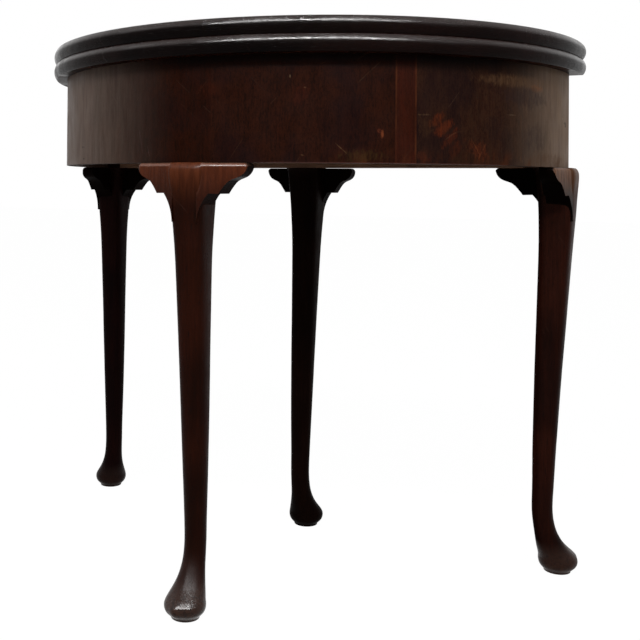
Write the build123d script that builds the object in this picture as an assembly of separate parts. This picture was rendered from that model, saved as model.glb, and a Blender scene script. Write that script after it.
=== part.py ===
from build123d import *
import math
import os

# Folding card table with a half-round top, closed, front towards -Y, feet on z = 0.
# All lengths are in millimetres.

# Overall sizes
table_height = 720.0
leaf_radius = 400.0
leaf_thickness = 21.0
leaf_gap = 0.3
leaf_back_margin = 15.0
leaf_overhang = 20.0
leaf_edge_bulge = 4.0
leaf_arris = 1.2
hinge_edge_gap = 0.15

# Frieze and carcase
frieze_radius = leaf_radius - leaf_overhang
frieze_height = 129.0
veneer_thickness = 1.4
glue_line = 0.1
core_thickness = 22.0
block_count_per_side = 3
fitting_gap = 0.5

# Legs
post_side = 50.0
front_knee_bend = 12.1
corner_knee_bend = 21.0
gate_knee_bend = 20.7
knee_lip = 6.0
toe_reach = 24.0
toe_point = 3.0
front_ankle_set = 17.8
corner_ankle_shift = 0.8
gate_ankle_set = 32.5
section_points = 32

# Ears beside the legs
front_ear_length = 52.0
corner_ear_length = 57.0
gate_ear_length = 45.5
ear_drop = 37.5
ear_inset = 8.0
ear_back_depth = 18.0
ear_corner_set = 2.5
ear_face_lift = 8.0
ear_rounding = 5.5
gate_ear_proud = 11.0

# Back rails, wooden knuckle hinge and gate
gate_set_in = 4.0
rail_thickness = 28.0
gate_end_gap = 2.0
pivot_place_share = 0.5
pivot_x = leaf_radius * pivot_place_share
knuckle_count = 5
knuckle_gap = 0.4
knuckle_pin_radius = 4.0
running_clearance = 0.05

# Joints in the frame
tenon_thickness = 9.0
tenon_length = 22.0
tenon_shoulder = 16.0
peg_radius = 3.5
peg_inset = 11.0
peg_edge = 32.0
brace_width = 46.0
brace_thickness = 22.0
glue_block_side = 22.0
glue_block_clear = 14.0
fixing_block_width = 44.0
fixing_block_side = 24.0

# Screws
fixing_screw_length = 32.0
screw_head_radius = 3.4
screw_head_depth = 2.0
screw_shank_radius = 1.9
hinge_screw_length = 13.0
screw_slot_width = 0.9
screw_slot_depth = 0.7

# Hinges between the two leaves
hinge_length = 52.0
hinge_plate_height = 15.5
hinge_plate_thickness = 2.0
hinge_barrel_radius = 3.2
hinge_pin_radius = 1.5
hinge_knuckle_gap = 0.3
hinge_groove_clear = 0.3
hinge_plate_sink = 0.15
hinge_place_share = 0.7
hinge_spacing = leaf_radius * hinge_place_share

# Lining of the playing surface
lining_border = 45.0
lining_back_border = 20.0
lining_thickness = 0.9
lining_recess = 1.0
lining_side_gap = 0.2

# Heights worked out from the sizes above
axis_height = table_height - leaf_thickness - leaf_gap / 2
lower_leaf_top = axis_height - leaf_gap / 2
frieze_top = lower_leaf_top - leaf_thickness
frieze_bottom = frieze_top - frieze_height
rail_top = frieze_top - fitting_gap

# Plan positions worked out from the sizes above
veneer_inner = frieze_radius - veneer_thickness
core_outer = veneer_inner - glue_line
core_inner = core_outer - core_thickness
half_post = post_side / 2
post_centre_x = core_outer - half_post
post_centre_y = -half_post
front_post_y = -(core_outer - half_post)
gate_back = -gate_set_in
gate_front = gate_back - rail_thickness
gate_mid = gate_back - rail_thickness / 2
inner_rail_back = gate_front - fitting_gap
inner_rail_front = -post_side
post_inner_x = post_centre_x - half_post
leaf_back = leaf_back_margin - hinge_edge_gap
table_back = leaf_back_margin + hinge_barrel_radius

# Shape of a leg from the frieze to the floor, one row for each section:
# height, side, squareness, bend of the knee, lip under the frieze, reach of the toe, point of the toe,
# extra depth towards the toe
leg_shares = [
    (1.000, 1.011, 6.0, 0.974, 1.00, 0.00, 0.00, 0.039),
    (0.994, 1.011, 6.0, 0.976, 0.38, 0.00, 0.00, 0.039),
    (0.987, 1.006, 6.0, 0.978, 0.10, 0.00, 0.00, 0.040),
    (0.978, 0.998, 6.0, 0.981, 0.00, 0.00, 0.00, 0.041),
    (0.962, 0.975, 6.0, 0.986, 0.00, 0.00, 0.00, 0.045),
    (0.944, 0.940, 5.8, 0.989, 0.00, 0.00, 0.00, 0.049),
    (0.918, 0.898, 5.4, 0.985, 0.00, 0.00, 0.00, 0.060),
    (0.890, 0.865, 5.0, 0.974, 0.00, 0.00, 0.00, 0.073),
    (0.850, 0.826, 4.3, 0.928, 0.00, 0.00, 0.00, 0.086),
    (0.810, 0.799, 3.6, 0.872, 0.00, 0.00, 0.00, 0.093),
    (0.706, 0.752, 3.1, 0.698, 0.00, 0.00, 0.00, 0.092),
    (0.599, 0.720, 2.7, 0.518, 0.00, 0.00, 0.00, 0.069),
    (0.495, 0.690, 2.5, 0.338, 0.00, 0.00, 0.00, 0.029),
    (0.385, 0.651, 2.3, 0.180, 0.00, 0.00, 0.00, -0.003),
    (0.279, 0.604, 2.1, 0.043, 0.00, 0.00, 0.00, -0.019),
    (0.198, 0.561, 2.0, -0.036, 0.00, 0.00, 0.00, -0.026),
    (0.150, 0.548, 2.0, -0.080, 0.00, 0.02, 0.00, -0.020),
    (0.118, 0.562, 2.0, -0.050, 0.00, 0.10, 0.05, -0.010),
    (0.092, 0.620, 2.0, -0.020, 0.00, 0.25, 0.15, 0.000),
    (0.065, 0.765, 2.0, 0.000, 0.00, 0.52, 0.45, 0.000),
    (0.047, 0.910, 2.0, 0.000, 0.00, 0.80, 0.80, 0.000),
    (0.035, 1.000, 2.0, 0.000, 0.00, 0.96, 1.00, 0.000),
]
pad_shares = [
    (0.035, 1.000, 2.0, 0.000, 0.00, 0.96, 1.00, 0.000),
    (0.028, 1.024, 2.0, 0.000, 0.00, 0.98, 1.00, 0.000),
    (0.020, 1.000, 2.0, 0.000, 0.00, 0.98, 0.90, 0.000),
    (0.012, 0.900, 2.0, 0.000, 0.00, 0.96, 0.50, 0.000),
    (0.007, 0.780, 2.0, 0.000, 0.00, 0.94, 0.15, 0.000),
    (0.000, 0.700, 2.0, 0.000, 0.00, 0.94, 0.00, 0.000),
]

# The knee is measured just below its rounded lip
knee_bend_share = leg_shares[3][3]
knee_half = half_post * leg_shares[3][1]
knee_half_deep = knee_half * (1 + leg_shares[3][7])

# The front toe reaches furthest forward and the hinge barrels furthest back.
# The plan is centred between the two.
front_ankle_reach = core_outer - front_ankle_set
toe_tip_reach = pad_shares[1][5] * toe_reach + pad_shares[1][1] * half_post + pad_shares[1][6] * toe_point
front_toe_tip = front_ankle_reach + toe_tip_reach
plan_shift = (front_toe_tip - table_back) / 2

# Outline of an ear: share of its length away from the leg, share of its drop below the frieze
ear_lobe_shares = [
    (1.000, 0.00),
    (0.985, 0.16),
    (0.935, 0.31),
    (0.830, 0.44),
    (0.610, 0.57),
    (0.470, 0.76),
    (0.345, 1.00),
]
ear_step_share = (0.12, 0.99)
ear_tail_mid_share = (-0.03, 1.29)
ear_tail_end_share = 1.92

# Directions of the veneer joints, in degrees round from the front centre, plus towards the right
veneer_joints = [-90.0, -58.0, -28.0, 4.0, 37.5, 41.5, 66.0, 90.0]

front_direction = -90.0
back_direction = 90.0
right_corner_direction = 45.0
left_corner_direction = 135.0
half_turn = 180.0
quarter_turn = 90.0


def box_between(x0, x1, y0, y1, z0, z1):
    """A box given by its two limits along each axis."""
    middle = Pos((x0 + x1) / 2, (y0 + y1) / 2, (z0 + z1) / 2)
    return middle * Box(x1 - x0, y1 - y0, z1 - z0)


def upright_cylinder(radius, x, y, z0, z1):
    """A cylinder standing along Z between two heights."""
    return Pos(x, y, (z0 + z1) / 2) * Cylinder(radius, z1 - z0)


def rod_along_y(radius, x, y0, y1, z):
    """A round rod lying along Y."""
    return Pos(x, (y0 + y1) / 2, z) * Rot(X=quarter_turn) * Cylinder(radius, y1 - y0)


def rod_along_x(radius, x0, x1, y, z):
    """A round rod lying along X."""
    return Pos((x0 + x1) / 2, y, z) * Rot(Y=quarter_turn) * Cylinder(radius, x1 - x0)


def leg_section(row, ankle_x, ankle_y, toe_direction, knee_bend, top):
    """One closed outline across a leg, a rounded square that turns into a pointed circle at the foot."""
    height, side, squareness, bend, lip, reach, point, depth = row
    radius = side * post_side / 2
    shift = bend * knee_bend - lip * knee_lip + reach * toe_reach
    toe_angle = math.radians(toe_direction)
    outline = []
    for number in range(section_points):
        angle = 2 * math.pi * number / section_points
        across = abs(math.cos(angle)) ** squareness + abs(math.sin(angle)) ** squareness
        away = math.cos(angle - toe_angle)
        tip = point * toe_point * max(away, 0) ** section_points
        reach_here = radius / across ** (1 / squareness) + tip
        forward = shift + reach_here * away * depth
        x = ankle_x + reach_here * math.cos(angle) + forward * math.cos(toe_angle)
        y = ankle_y + reach_here * math.sin(angle) + forward * math.sin(toe_angle)
        outline.append((x, y))
    edge = Spline(*outline, periodic=True)
    face = make_face(edge)
    return Pos(0, 0, height * top) * face


def cabriole(ankle_x, ankle_y, toe_direction, knee_bend, top):
    """The curved leg from the floor up to a given height, with its pad foot."""
    place = (ankle_x, ankle_y, toe_direction, knee_bend, top)
    shaft = loft([leg_section(row, *place) for row in reversed(leg_shares)])
    pad = loft([leg_section(row, *place) for row in reversed(pad_shares)])
    return shaft + pad


def half_round(radius, z0, z1):
    """Everything in front of the back plane inside one radius, between two heights."""
    whole = upright_cylinder(radius, 0, 0, z0, z1)
    return whole & box_between(-radius, radius, -radius, 0, z0, z1)


def fixed_leg(post_x, post_y, ankle_x, ankle_y, toe_direction, knee_bend):
    """A leg whose square post runs up inside the frieze, trimmed to the curve behind the veneer."""
    post = box_between(post_x - half_post, post_x + half_post, post_y - half_post, post_y + half_post,
                       frieze_bottom, frieze_top)
    post = post & half_round(core_outer, frieze_bottom, frieze_top)
    return post + cabriole(ankle_x, ankle_y, toe_direction, knee_bend, frieze_bottom)


def front_ankle():
    """Where the ankle of the front leg stands in plan."""
    return 0, -front_ankle_reach


def corner_ankle(side):
    """Where the ankle of a corner leg stands in plan, side is +1 for the right and -1 for the left."""
    return side * (post_centre_x - corner_ankle_shift), post_centre_y + corner_ankle_shift


def gate_ankle():
    """Where the ankle of the gate leg stands in plan."""
    return 0, gate_back - gate_ankle_set


def front_leg():
    """The fixed leg under the middle of the curved front."""
    x, y = front_ankle()
    return fixed_leg(0, front_post_y, x, y, front_direction, front_knee_bend)


def corner_leg(side):
    """A fixed leg at one end of the back, with mortises and peg holes."""
    x, y = corner_ankle(side)
    direction = right_corner_direction if side > 0 else left_corner_direction
    leg = fixed_leg(side * post_centre_x, post_centre_y, x, y, direction, corner_knee_bend)
    leg = leg - inner_rail_tenon(side) - outer_rail_tenon(side)
    for peg in corner_pegs(side):
        leg = leg - peg
    return leg


def tenon(side, mid_y):
    """The tongue at one end of a back rail, reaching into a corner post."""
    start = side * post_inner_x
    end = side * (post_inner_x + tenon_length)
    half = tenon_thickness / 2
    return box_between(min(start, end), max(start, end), mid_y - half, mid_y + half,
                       frieze_bottom + tenon_shoulder, frieze_top - tenon_shoulder)


def inner_rail_tenon(side):
    """Tongue of the inner back rail."""
    lowest = post_centre_y - half_post
    return tenon(side, (inner_rail_back + lowest) / 2)


def outer_rail_tenon(side):
    """Tongue of the fixed outer rail."""
    return tenon(side, gate_mid)


def corner_pegs(side):
    """Two wooden pegs that lock both tongues in one corner post."""
    x = side * (post_inner_x + peg_inset)
    heights = [frieze_bottom + peg_edge, frieze_top - peg_edge]
    return [rod_along_y(peg_radius, x, post_centre_y - half_post, 0, z) for z in heights]


def inner_back_rail():
    """The fixed rail behind which the gate folds away."""
    rail = box_between(-post_inner_x, post_inner_x, inner_rail_front, inner_rail_back,
                       frieze_bottom, frieze_top)
    for side in (-1, 1):
        rail = rail + inner_rail_tenon(side)
        for peg in corner_pegs(side):
            rail = rail - peg
    return rail


def left_outer_rail():
    """The fixed outer rail between the left corner and the closed gate leg."""
    rail = box_between(-post_inner_x, -half_post - gate_end_gap, inner_rail_back, gate_back,
                       frieze_bottom, frieze_top)
    rail = rail + outer_rail_tenon(-1)
    for peg in corner_pegs(-1):
        rail = rail - peg
    return rail


def knuckle_levels():
    """Bottom and top of each finger of the wooden knuckle hinge."""
    step = (rail_top - frieze_bottom) / knuckle_count
    steps = [frieze_bottom + step * number for number in range(knuckle_count + 1)]
    return list(zip(steps[:-1], steps[1:]))


def wedge_plan(far_x, z0, z1):
    """A rail seen from above, running from the hinge pin to far_x with bevelled shoulders at the pin."""
    half = rail_thickness / 2
    turn = 1 if far_x > pivot_x else -1
    outline = Polyline(
        (pivot_x, gate_mid),
        (pivot_x + turn * half, gate_back),
        (far_x, gate_back),
        (far_x, gate_front),
        (pivot_x + turn * half, gate_front),
        close=True,
    )
    return Pos(0, 0, z0) * extrude(make_face(outline), z1 - z0)


def knuckled_rail(far_x, own_first, pin_clearance):
    """A rail with every second finger of the knuckle hinge, and room for the other fingers."""
    half = rail_thickness / 2
    rail = wedge_plan(far_x, frieze_bottom, rail_top)
    for number, (low, high) in enumerate(knuckle_levels()):
        own = (number % 2 == 0) == own_first
        if own:
            finger_low = low if number == 0 else low + knuckle_gap / 2
            finger_high = high if number == knuckle_count - 1 else high - knuckle_gap / 2
            rail = rail + upright_cylinder(half, pivot_x, gate_mid, finger_low, finger_high)
        else:
            rail = rail - upright_cylinder(half + knuckle_gap, pivot_x, gate_mid, low - knuckle_gap / 2,
                                           high + knuckle_gap / 2)
    return rail - upright_cylinder(knuckle_pin_radius + pin_clearance, pivot_x, gate_mid,
                                   frieze_bottom, rail_top)


def right_outer_rail():
    """The fixed outer rail that carries the fixed fingers of the knuckle hinge."""
    packing = box_between(pivot_x + rail_thickness / 2, post_inner_x, inner_rail_back, gate_front,
                          frieze_bottom, rail_top)
    rail = knuckled_rail(post_inner_x, True, 0) + packing + outer_rail_tenon(1)
    for peg in corner_pegs(1):
        rail = rail - peg
    return rail


def fly_rail():
    """The swinging rail between the knuckle hinge and the gate leg."""
    rail = knuckled_rail(half_post, False, running_clearance) + gate_tenon()
    for peg in gate_pegs():
        rail = rail - peg
    return rail


def gate_tenon():
    """Tongue of the swinging rail, reaching into the gate leg."""
    half = tenon_thickness / 2
    return box_between(half_post - tenon_length, half_post, gate_mid - half, gate_mid + half,
                       frieze_bottom + tenon_shoulder, rail_top - tenon_shoulder)


def gate_pegs():
    """Two pegs that lock the swinging rail in the gate leg."""
    heights = [frieze_bottom + peg_edge, rail_top - peg_edge]
    return [rod_along_y(peg_radius, half_post - peg_inset, gate_front, gate_back, z) for z in heights]


def knuckle_pin():
    """The iron pin of the wooden knuckle hinge."""
    return upright_cylinder(knuckle_pin_radius, pivot_x, gate_mid, frieze_bottom, rail_top)


def gate_leg():
    """The swinging back leg, whose upper stock is as thin as the rail that carries it."""
    x, y = gate_ankle()
    lower_top = frieze_bottom - fitting_gap
    stock = box_between(-half_post, half_post, gate_front, gate_back, lower_top, rail_top)
    leg = stock + cabriole(x, y, back_direction, gate_knee_bend, lower_top) - gate_tenon()
    for peg in gate_pegs():
        leg = leg - peg
    return leg


def ear_outline(length):
    """The side view of an ear, its top along the frieze and its tail running out on the side of the leg."""
    lobe = [(share_out * length, -share_down * ear_drop) for share_out, share_down in ear_lobe_shares]
    step = (ear_step_share[0] * length, -ear_step_share[1] * ear_drop)
    tail_mid = (ear_tail_mid_share[0] * length, -ear_tail_mid_share[1] * ear_drop)
    tail_end = (-ear_inset, -ear_tail_end_share * ear_drop)
    inner_high = (-ear_inset, 0)
    edges = [
        Spline(*lobe),
        Line(lobe[-1], step),
        ThreePointArc(step, tail_mid, tail_end),
        Line(tail_end, inner_high),
        Line(inner_high, lobe[0]),
    ]
    return make_face(edges)


def ear_blank(length, near_face, far_face, back_face):
    """The block an ear is cut from, with its top edge and its far corner rounded over."""
    plan = Polyline(
        (-ear_inset, -near_face),
        (length, -far_face),
        (length, back_face),
        (-ear_inset, back_face),
        close=True,
    )
    drop = ear_drop * ear_tail_end_share
    block = Pos(0, 0, -drop) * extrude(make_face(plan), drop)
    top_front = block.edges().group_by(Axis.Z)[-1].sort_by(Axis.Y)[0]
    top_far = block.edges().group_by(Axis.Z)[-1].sort_by(Axis.X)[-1]
    far_corner = block.edges().filter_by(Axis.Z).sort_by(Axis.X)[-2:].sort_by(Axis.Y)[0]
    return fillet([top_front, top_far, far_corner], ear_rounding)


def ear(x, y, run_direction, mirrored, length, near_face, far_face, back_face, top):
    """An ear that starts at (x, y) and runs away from the leg, its faces measured outwards from there."""
    side_view = Plane.XZ * ear_outline(length)
    plate = extrude(side_view, near_face + back_face + length, both=True)
    shape = plate & ear_blank(length, near_face, far_face, back_face)
    if mirrored:
        shape = mirror(shape, Plane.XZ)
    return Pos(x, y, top) * Rot(Z=run_direction) * shape


def front_ears(leg):
    """The left and right ears of the front leg."""
    far_x = half_post + front_ear_length
    far_y = math.sqrt(frieze_radius ** 2 - far_x ** 2) + ear_face_lift
    knee_y = front_ankle_reach + knee_bend_share * front_knee_bend + knee_half_deep
    near = knee_y - ear_corner_set - core_outer
    far = far_y - core_outer
    right = ear(half_post, -core_outer, 0, False, front_ear_length, near, far, ear_back_depth, frieze_bottom)
    return mirror(right, Plane.YZ) - leg, right - leg


def corner_ears(leg):
    """The front and back ears of the right corner leg."""
    ankle_x, ankle_y = corner_ankle(1)
    knee = knee_bend_share * corner_knee_bend * math.sin(math.radians(right_corner_direction))
    front_y = ankle_y + knee - knee_half
    outer_x = ankle_x + knee + knee_half
    far_y = front_y - corner_ear_length
    far_x = math.sqrt(frieze_radius ** 2 - far_y ** 2) + ear_face_lift
    near = outer_x - ear_corner_set - core_inner
    far = far_x - core_inner
    front = ear(core_inner, front_y, front_direction, True, corner_ear_length, near, far, 0, frieze_bottom)
    inner_x = ankle_x + knee - knee_half
    back_near = ankle_y + knee + knee_half - ear_corner_set
    back = ear(inner_x, 0, half_turn, False, corner_ear_length, back_near, ear_face_lift, ear_back_depth,
               frieze_bottom)
    return front - leg, back - leg


def gate_ears(leg):
    """The two ears of the gate leg."""
    top = frieze_bottom - fitting_gap
    inner = ear_back_depth - gate_ear_proud
    right = ear(half_post, gate_back, 0, True, gate_ear_length, gate_ear_proud, gate_ear_proud, inner, top)
    return mirror(right, Plane.YZ) - leg, right - leg


def ring_piece(inner, outer, start, end, z0, z1):
    """Part of the curved frieze between two directions, in degrees round from the front centre."""
    reach = outer * 2
    first = math.radians(start)
    last = math.radians(end)
    middle = (first + last) / 2
    wedge = Polyline(
        (0, 0),
        (reach * math.sin(first), -reach * math.cos(first)),
        (reach * math.sin(middle), -reach * math.cos(middle)),
        (reach * math.sin(last), -reach * math.cos(last)),
        close=True,
    )
    slice_between = Pos(0, 0, z0) * extrude(make_face(wedge), z1 - z0)
    ring = upright_cylinder(outer, 0, 0, z0, z1) - upright_cylinder(inner, 0, 0, z0, z1)
    return ring & slice_between


def core_blocks():
    """Softwood blocks of the frieze on the right side, from the front leg round to the corner leg."""
    first = math.degrees(math.asin(half_post / core_outer))
    last = quarter_turn - math.degrees(math.asin(post_side / core_outer))
    step = (last - first) / block_count_per_side
    room = box_between(half_post, core_outer, -core_outer, -post_side, frieze_bottom, frieze_top)
    blocks = []
    for number in range(block_count_per_side):
        start = first + step * number
        end = start + step
        if number == 0:
            start = 0
        if number == block_count_per_side - 1:
            end = quarter_turn
        blocks.append(ring_piece(core_inner, core_outer, start, end, frieze_bottom, frieze_top) & room)
    return blocks


def veneer(number):
    """One leaf of mahogany veneer on the face of the frieze."""
    return ring_piece(veneer_inner, frieze_radius, veneer_joints[number], veneer_joints[number + 1],
                      frieze_bottom, frieze_top)


def cross_brace():
    """The brace from the front post to the inner back rail, level with the top of the frieze."""
    return box_between(-brace_width / 2, brace_width / 2, front_post_y + half_post, inner_rail_front,
                       frieze_top - brace_thickness, frieze_top)


def glue_blocks():
    """Square blocks glued in the corners between the posts and the frieze, and behind the rail."""
    low = frieze_bottom + glue_block_clear
    high = frieze_top - fixing_block_side - glue_block_clear
    behind_front = math.sqrt(core_inner ** 2 - (half_post + glue_block_side) ** 2)
    beside_corner = math.sqrt(core_inner ** 2 - (post_side + glue_block_side) ** 2)
    blocks = []
    for side in (-1, 1):
        near = side * half_post
        far = side * (half_post + glue_block_side)
        blocks.append(box_between(min(near, far), max(near, far),
                                  -behind_front, -behind_front + glue_block_side, low, high))
        outer = side * beside_corner
        inner = side * (beside_corner - glue_block_side)
        blocks.append(box_between(min(outer, inner), max(outer, inner),
                                  -post_side - glue_block_side, -post_side, low, high))
    return blocks


def fixing_places():
    """Centre points of the blocks that hold the lower leaf."""
    turn = math.radians(right_corner_direction)
    along = math.sqrt(core_inner ** 2 - (fixing_block_width / 2) ** 2) - fixing_block_side / 2
    side_x = along * math.sin(turn)
    side_y = -along * math.cos(turn)
    rail_y = inner_rail_front - fixing_block_side / 2
    rail_x = hinge_spacing - fixing_block_width
    return [(side_x, side_y, right_corner_direction), (-side_x, side_y, -right_corner_direction),
            (rail_x, rail_y, 0), (-rail_x, rail_y, 0)]


def fixing_blocks():
    """Softwood blocks under the lower leaf, each with a countersunk hole for one screw."""
    blocks = []
    for x, y, turn in fixing_places():
        block = Box(fixing_block_width, fixing_block_side, fixing_block_side)
        block = Pos(x, y, frieze_top - fixing_block_side / 2) * Rot(Z=turn) * block
        blocks.append(block - fixing_screw(x, y, True))
    return blocks


def screw(length, hole):
    """A countersunk wood screw with its head at the origin and its point along +Z, or its hole."""
    grow = running_clearance if hole else 0
    head_radius = screw_head_radius + grow
    shank_radius = screw_shank_radius + grow
    head = Pos(0, 0, screw_head_depth / 2) * Cone(head_radius, shank_radius, screw_head_depth)
    shank = Pos(0, 0, (length + grow) / 2) * Cylinder(shank_radius, length + grow)
    body = head + shank
    if not hole:
        slot = Box(screw_head_radius * 2, screw_slot_width, screw_slot_depth)
        body = body - Pos(0, 0, screw_slot_depth / 2) * slot
    return body


def fixing_screw(x, y, hole):
    """One screw up through a block into the lower leaf, or its hole."""
    return Pos(x, y, frieze_top - fixing_block_side) * screw(fixing_screw_length, hole)


def fixing_screws(hole):
    """All screws that hold the lower leaf, or their holes."""
    return [fixing_screw(x, y, hole) for x, y, turn in fixing_places()]


def leaf_blank(low):
    """A half-round leaf with a gently bulging edge and a straight margin at the back."""
    high = low + leaf_thickness
    rim = leaf_radius - leaf_edge_bulge
    bulge = ThreePointArc((rim, low), (leaf_radius, (low + high) / 2), (rim, high))
    under = Line((0, low), (rim, low))
    over = Line((rim, high), (0, high))
    half = make_face([under, bulge, over, Line((0, high), (0, low))])
    outer_corners = half.vertices().sort_by(Axis.X)[-2:]
    half = fillet(outer_corners, leaf_arris)
    half = Plane.XZ * half
    front = revolve(half, Axis.Z, -half_turn)
    margin = extrude(half, leaf_back, dir=(0, 1, 0))
    return front + margin + mirror(margin, Plane.YZ)


def lining_region(low, high, grow):
    """The shape of the cloth lining between two heights."""
    radius = leaf_radius - lining_border + grow
    back = leaf_back_margin - lining_back_border + grow
    whole = upright_cylinder(radius, 0, 0, low, high)
    return whole & box_between(-radius, radius, -radius, back, low, high)


def hinge_groove(x):
    """Room for the barrel of one hinge in the corner of both leaves."""
    half = hinge_length / 2 + hinge_knuckle_gap
    radius = hinge_barrel_radius + hinge_groove_clear
    return rod_along_x(radius, x - half, x + half, leaf_back_margin, axis_height)


def hinge_plate_room(x):
    """The recess for one hinge plate in the back edge of the lower leaf."""
    half = hinge_length / 2
    face = leaf_back
    return box_between(x - half, x + half, face - hinge_plate_sink - hinge_plate_thickness, face,
                       axis_height - hinge_plate_height, axis_height)


def hinge_screws(hole):
    """Screws of the lower hinge plates, pointing forward into the leaf, or their holes."""
    face = leaf_back - hinge_plate_sink
    level = axis_height - hinge_plate_height * 2 / 3
    spread = hinge_length / 3
    screws = []
    for x in hinge_places():
        for offset in (-spread, 0, spread):
            place = Pos(x + offset, face, level) * Rot(X=quarter_turn)
            screws.append(place * screw(hinge_screw_length, hole))
    return screws


def hinge_places():
    """Positions of the hinges along the back edge."""
    return [-hinge_spacing, 0, hinge_spacing]


def hinge_knuckles(x):
    """The three barrel lengths of one hinge, as start and end along X."""
    length = hinge_length / 3
    start = x - hinge_length / 2
    return [(start + length * number, start + length * (number + 1)) for number in range(3)]


def hinge_half(x, outer_knuckles, pin_clearance):
    """Half of a brass hinge as it sits on the lower leaf, with the outer or the middle part of the barrel."""
    face = leaf_back - hinge_plate_sink
    low = axis_height - hinge_plate_height
    plate = box_between(x - hinge_length / 2, x + hinge_length / 2, face - hinge_plate_thickness, face,
                        low, axis_height - hinge_barrel_radius / 2)
    for number, (start, end) in enumerate(hinge_knuckles(x)):
        own = (number != 1) == outer_knuckles
        if own:
            first = start if number == 0 else start + hinge_knuckle_gap / 2
            last = end if number == 2 else end - hinge_knuckle_gap / 2
            plate = plate + rod_along_x(hinge_barrel_radius, first, last, leaf_back_margin, axis_height)
        else:
            plate = plate - rod_along_x(hinge_barrel_radius + hinge_groove_clear,
                                        start - hinge_knuckle_gap / 2, end + hinge_knuckle_gap / 2,
                                        leaf_back_margin, axis_height)
    return plate - hinge_pin(x, pin_clearance)


def hinge_pin(x, clearance):
    """The pin of one hinge, or the hole for it."""
    return rod_along_x(hinge_pin_radius + clearance, x - hinge_length / 2, x + hinge_length / 2,
                       leaf_back_margin, axis_height)


def folded_over(shape):
    """Turns a shape from the open side of the lower leaf onto the matching place of the upper leaf."""
    return mirror(shape, Plane.XY.offset(axis_height))


def lower_leaf():
    """The fixed leaf, with its lining recess, hinge recesses and screw holes."""
    leaf = leaf_blank(lower_leaf_top - leaf_thickness)
    leaf = leaf - lining_region(lower_leaf_top - lining_recess, lower_leaf_top, lining_side_gap)
    for x in hinge_places():
        leaf = leaf - hinge_groove(x) - hinge_plate_room(x)
    for piece in hinge_screws(True):
        leaf = leaf - piece
    return leaf


def lower_lining():
    """Cloth lining of the lower leaf."""
    base = lower_leaf_top - lining_recess
    return lining_region(base, base + lining_thickness, 0)


pieces = {}


def keep(name, shape):
    """Remembers one named piece, moved to the middle of the plan."""
    group = shape if isinstance(shape, list) else [shape]
    solids = [solid for member in group for solid in member.solids()]
    whole = solids[0] if len(solids) == 1 else Compound(children=solids)
    pieces[name] = Pos(0, plan_shift, 0) * whole


front = front_leg()
right = corner_leg(1)
left = mirror(right, Plane.YZ)
gate = gate_leg()
front_left_ear, front_right_ear = front_ears(front)
right_front_ear, right_back_ear = corner_ears(right)
gate_left_ear, gate_right_ear = gate_ears(gate)

keep("front_leg", front)
keep("right_leg", right)
keep("left_leg", left)
keep("front_leg_left_ear", front_left_ear)
keep("front_leg_right_ear", front_right_ear)
keep("right_leg_front_ear", right_front_ear)
keep("right_leg_back_ear", right_back_ear)
keep("left_leg_front_ear", mirror(right_front_ear, Plane.YZ))
keep("left_leg_back_ear", mirror(right_back_ear, Plane.YZ))

for number, block in enumerate(core_blocks()):
    keep(f"right_frieze_block_{number + 1}", block)
    keep(f"left_frieze_block_{number + 1}", mirror(block, Plane.YZ))
for number in range(len(veneer_joints) - 1):
    keep(f"frieze_veneer_{number + 1}", veneer(number))

keep("inner_back_rail", inner_back_rail())
keep("left_outer_rail", left_outer_rail())
keep("right_outer_rail", right_outer_rail())
keep("cross_brace", cross_brace())
keep("glue_blocks", glue_blocks())
keep("fixing_blocks", fixing_blocks())
keep("fixing_screws", fixing_screws(False))
keep("corner_pegs", corner_pegs(-1) + corner_pegs(1))
keep("knuckle_pin", knuckle_pin())

fixed_leaf = lower_leaf()
flap = folded_over(fixed_leaf)
for piece in fixing_screws(True):
    fixed_leaf = fixed_leaf - piece
keep("lower_leaf", fixed_leaf)
keep("lower_lining", lower_lining())
keep("upper_leaf", flap)
keep("upper_lining", folded_over(lower_lining()))

for name, x in zip(("left", "middle", "right"), hinge_places()):
    lower_half = hinge_half(x, True, 0)
    upper_half = folded_over(hinge_half(x, False, running_clearance))
    for piece in hinge_screws(True):
        lower_half = lower_half - piece
        upper_half = upper_half - folded_over(piece)
    keep(f"{name}_hinge_lower_plate", lower_half)
    keep(f"{name}_hinge_upper_plate", upper_half)
keep("hinge_pins", [hinge_pin(x, 0) for x in hinge_places()])
keep("lower_hinge_screws", hinge_screws(False))
keep("upper_hinge_screws", [folded_over(piece) for piece in hinge_screws(False)])

keep("fly_rail", fly_rail())
keep("gate_leg", gate)
keep("gate_leg_left_ear", gate_left_ear)
keep("gate_leg_right_ear", gate_right_ear)
keep("gate_pegs", gate_pegs())

os.makedirs("parts", exist_ok=True)
for name, shape in pieces.items():
    export_step(shape, f"parts/{name}.step")
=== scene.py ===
import bpy
import math
from mathutils import Matrix, Vector


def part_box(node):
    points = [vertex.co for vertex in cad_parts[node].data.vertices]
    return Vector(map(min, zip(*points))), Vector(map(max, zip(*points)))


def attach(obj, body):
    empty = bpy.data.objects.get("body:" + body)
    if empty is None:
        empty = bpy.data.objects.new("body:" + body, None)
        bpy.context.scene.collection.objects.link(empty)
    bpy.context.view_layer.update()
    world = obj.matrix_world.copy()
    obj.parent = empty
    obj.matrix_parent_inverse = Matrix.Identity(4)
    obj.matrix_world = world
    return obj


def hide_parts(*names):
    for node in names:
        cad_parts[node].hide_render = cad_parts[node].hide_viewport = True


# The looks of a folding card table: wood, cloth and metal finishes, light and camera.
# All lengths are in metres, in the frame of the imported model.

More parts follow.
